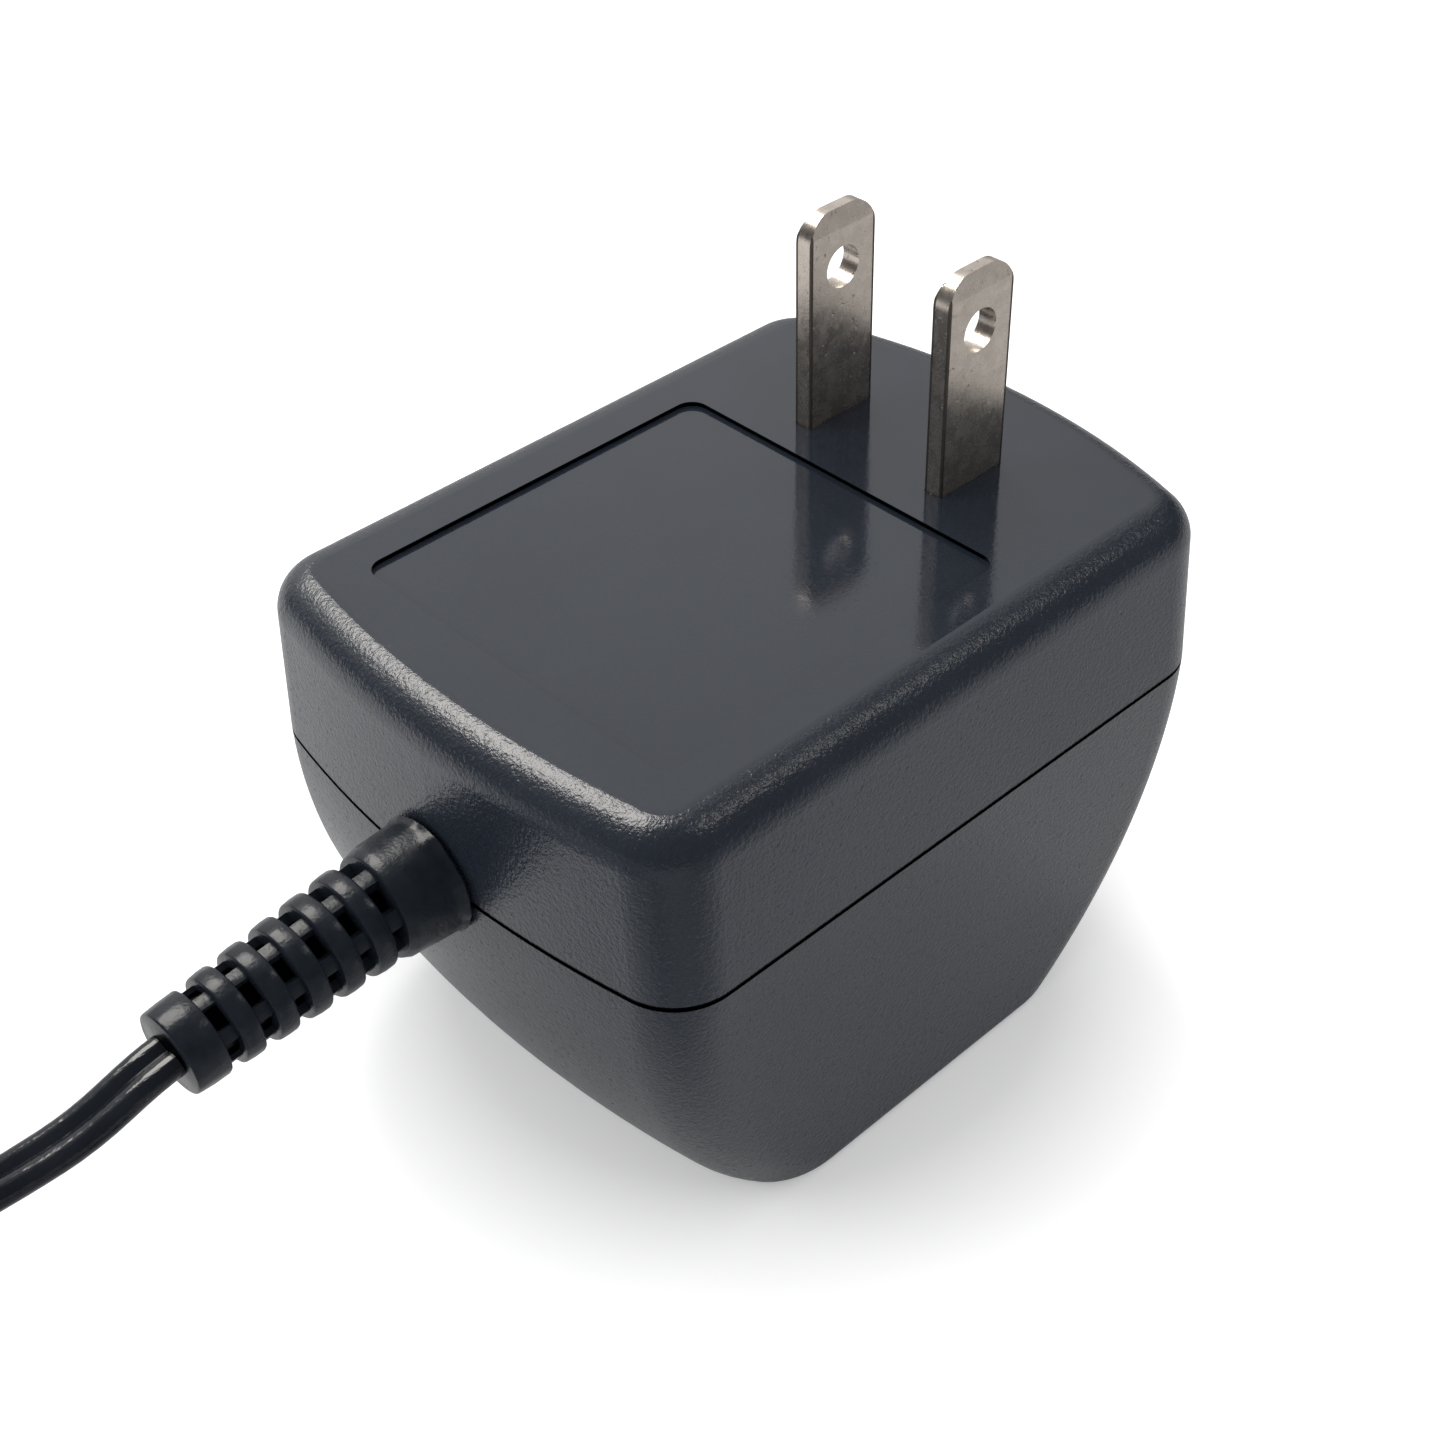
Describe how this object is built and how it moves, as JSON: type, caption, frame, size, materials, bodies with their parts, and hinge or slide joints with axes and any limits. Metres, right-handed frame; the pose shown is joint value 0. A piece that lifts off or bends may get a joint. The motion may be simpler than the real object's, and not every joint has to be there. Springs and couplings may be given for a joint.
{
  "type": "power adapter",
  "caption": "Plug-in transformer power adapter: bowed two-shell case, flat blades on one broad face, segmented strain relief and a thin flat cord to a barrel plug.",
  "frame": {"origin": "bottom centre of the case, on its back face", "axes": "+Z along the blades, away from the back face; -X towards the cord; +X towards the blade end"},
  "size_m": [0.1702, 0.0641, 0.0572],
  "materials": {
    "case": "satin charcoal, fine spark texture",
    "blade": "nickel plated, dull",
    "relief": "satin flexible plastic",
    "cord": "satin insulation",
    "contact": "nickel plated",
    "insulator": "black",
    "core": "varnished laminations",
    "bobbin": "natural",
    "winding": "enamelled copper wire",
    "tape": "polyester tape",
    "board": "phenolic board",
    "diode": "moulded",
    "capacitor": "shrink sleeve",
    "fuse": "sealed",
    "wire": "insulation"
  },
  "bodies": {
    "root": {"blade_cover": "case", "deep_case": "case", "blade_front": "blade", "blade_rear": "blade", "strain_relief": "relief", "output_cord": "cord", "cord_coil": "cord", "cord_tail": "cord", "plug_grip": "relief", "plug_sleeve": "contact", "plug_insulator": "insulator", "plug_contact": "contact", "core_e_stack": "core", "core_i_stack": "core", "bobbin": "bobbin", "primary_winding": "winding", "secondary_winding": "winding", "primary_tape": "tape", "secondary_tape": "tape", "rectifier_board": "board", "diode_1": "diode", "diode_2": "diode", "diode_3": "diode", "diode_4": "diode", "smoothing_capacitor": "capacitor", "secondary_pin_1": "contact", "secondary_pin_2": "contact", "thermal_fuse": "fuse", "live_lead": "wire", "fuse_lead": "wire", "neutral_lead": "wire", "output_conductor_1": "wire", "output_conductor_2": "wire"}
  },
  "joints": []
}
